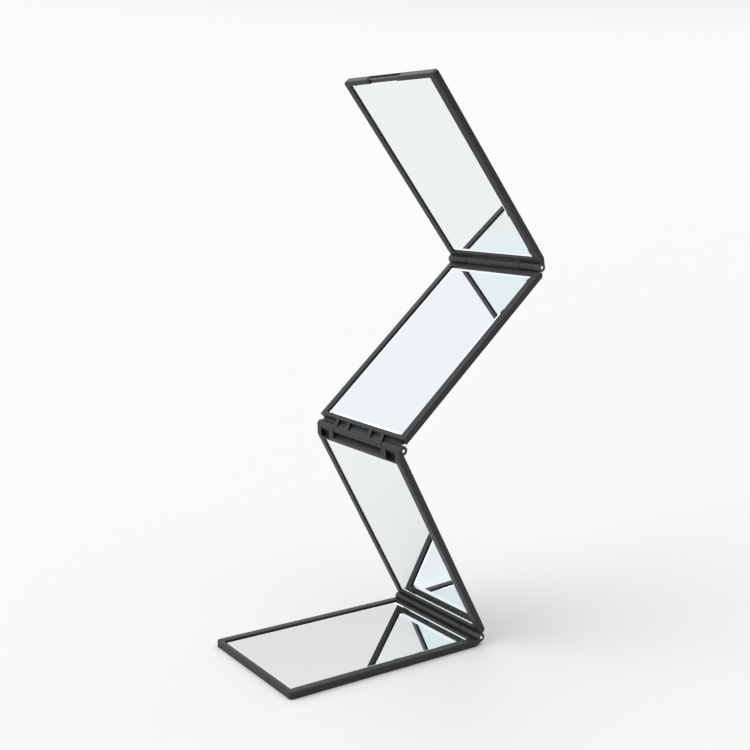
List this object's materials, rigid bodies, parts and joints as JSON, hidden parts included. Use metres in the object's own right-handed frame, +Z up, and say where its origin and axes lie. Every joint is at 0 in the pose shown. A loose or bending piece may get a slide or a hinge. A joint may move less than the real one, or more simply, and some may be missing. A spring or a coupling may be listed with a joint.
{
  "type": "folding stand mirror",
  "caption": "Pocket mirror that folds as an accordion: black plastic trays hinged end to end, each with a recessed rectangular mirror, standing in a zigzag on its base.",
  "frame": {"origin": "middle of the base tray's underside, on the table", "axes": "+Z up, +Y along the hinge pins, +X from the base tray's free end towards its hinge"},
  "size_m": [0.1791, 0.086, 0.3516],
  "materials": {
    "tray_plastic": "satin black moulding with a fine even grain",
    "mirror_glass": "silvered float glass with a narrow polished bevel",
    "foam_tape": "white closed-cell foam with adhesive on both faces",
    "pin_steel": "drawn wire with chamfered ends"
  },
  "bodies": {
    "base_panel": {"base_tray": "tray_plastic", "base_mirror": "mirror_glass", "base_tape_left": "foam_tape", "base_tape_right": "foam_tape", "base_hinge_pin_left": "pin_steel", "base_hinge_pin_right": "pin_steel"},
    "lower_panel": {"lower_tray": "tray_plastic", "lower_mirror": "mirror_glass", "lower_tape_left": "foam_tape", "lower_tape_right": "foam_tape", "middle_hinge_pin_left": "pin_steel", "middle_hinge_pin_right": "pin_steel"},
    "upper_panel": {"upper_tray": "tray_plastic", "upper_mirror": "mirror_glass", "upper_tape_left": "foam_tape", "upper_tape_right": "foam_tape"},
    "top_panel": {"top_tray": "tray_plastic", "top_mirror": "mirror_glass", "top_tape_left": "foam_tape", "top_tape_right": "foam_tape", "top_hinge_pin_left": "pin_steel", "top_hinge_pin_right": "pin_steel"}
  },
  "joints": [
    {"name": "base_hinge", "type": "hinge", "parent": "base_panel", "child": "lower_panel", "pos_m": [0.07205, 0, 0.0054], "axis": [0, 1, 0], "range_deg": [-58.8, 121.2]},
    {"name": "middle_hinge", "type": "hinge", "parent": "lower_panel", "child": "upper_panel", "pos_m": [0.00058, 0, 0.13538], "axis": [0, -1, 0], "range_deg": [-102.1, 77.9]},
    {"name": "top_hinge", "type": "hinge", "parent": "upper_panel", "child": "top_panel", "pos_m": [0.10419, 0, 0.24153], "axis": [0, 1, 0], "range_deg": [-91.1, 88.9]}
  ]
}
